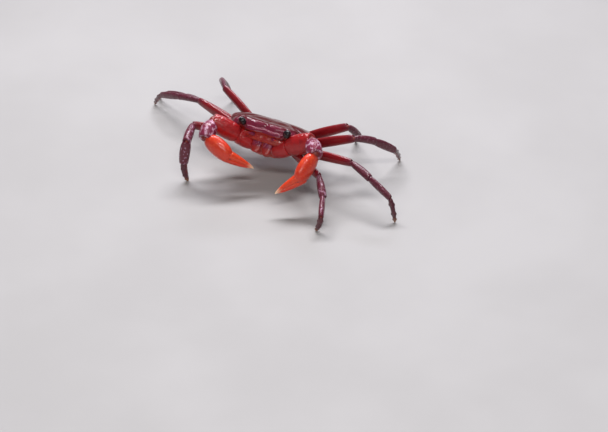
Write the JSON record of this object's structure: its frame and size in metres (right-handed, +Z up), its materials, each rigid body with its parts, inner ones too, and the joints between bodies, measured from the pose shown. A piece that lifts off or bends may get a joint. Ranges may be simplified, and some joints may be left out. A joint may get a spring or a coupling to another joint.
{
  "type": "land crab model",
  "caption": "Small wet-shelled red land crab, front raised and both claws folded down before its mouth; a still life-size model that stands on its toe tips.",
  "frame": {"origin": "On the floor, under the middle of the footprint and of the whole model's box.", "axes": "+X towards the crab's left, the span of the legs; +Y towards its back, so that it faces -Y; +Z up."},
  "size_m": [0.0864, 0.0512, 0.0193],
  "materials": {
    "shell": "wet dark maroon shell, sharp highlights",
    "underside": "wet orange-red shell, paler in the grooves",
    "mouth": "wet purple-red plates",
    "eye": "black, high gloss",
    "leg_red": "wet bright red shell",
    "leg_dark": "wet dark maroon shell, brown at the tips",
    "claw_arm": "wet red shell, darker above",
    "claw_hand": "wet orange-red shell, pale yellow at the finger tips"
  },
  "bodies": {
    "root": {"carapace": "shell", "thorax": "underside", "abdomen": "underside", "maxilliped_left": "mouth", "eye_left": "eye", "eyestalk_left": "shell", "antenna_left": "shell", "maxilliped_right": "mouth", "eye_right": "eye", "eyestalk_right": "shell", "antenna_right": "shell", "claw_left_ischium": "claw_arm", "claw_left_merus": "claw_arm", "claw_left_carpus": "claw_arm", "claw_left_palm": "claw_hand", "claw_left_dactylus": "claw_hand", "claw_right_ischium": "claw_arm", "claw_right_merus": "claw_arm", "claw_right_carpus": "claw_arm", "claw_right_palm": "claw_hand", "claw_right_dactylus": "claw_hand", "leg_left_1_merus": "leg_red", "leg_left_1_carpus": "leg_dark", "leg_left_1_propodus": "leg_dark", "leg_left_1_dactylus": "leg_dark", "leg_left_2_merus": "leg_red", "leg_left_2_carpus": "leg_dark", "leg_left_2_propodus": "leg_dark", "leg_left_2_dactylus": "leg_dark", "leg_left_3_merus": "leg_red", "leg_left_3_carpus": "leg_dark", "leg_left_3_propodus": "leg_dark", "leg_left_3_dactylus": "leg_dark", "leg_left_4_merus": "leg_red", "leg_left_4_carpus": "leg_dark", "leg_left_4_propodus": "leg_dark", "leg_left_4_dactylus": "leg_dark", "leg_right_1_merus": "leg_red", "leg_right_1_carpus": "leg_dark", "leg_right_1_propodus": "leg_dark", "leg_right_1_dactylus": "leg_dark", "leg_right_2_merus": "leg_red", "leg_right_2_carpus": "leg_dark", "leg_right_2_propodus": "leg_dark", "leg_right_2_dactylus": "leg_dark", "leg_right_3_merus": "leg_red", "leg_right_3_carpus": "leg_dark", "leg_right_3_propodus": "leg_dark", "leg_right_3_dactylus": "leg_dark", "leg_right_4_merus": "leg_red", "leg_right_4_carpus": "leg_dark", "leg_right_4_propodus": "leg_dark", "leg_right_4_dactylus": "leg_dark"}
  },
  "joints": []
}
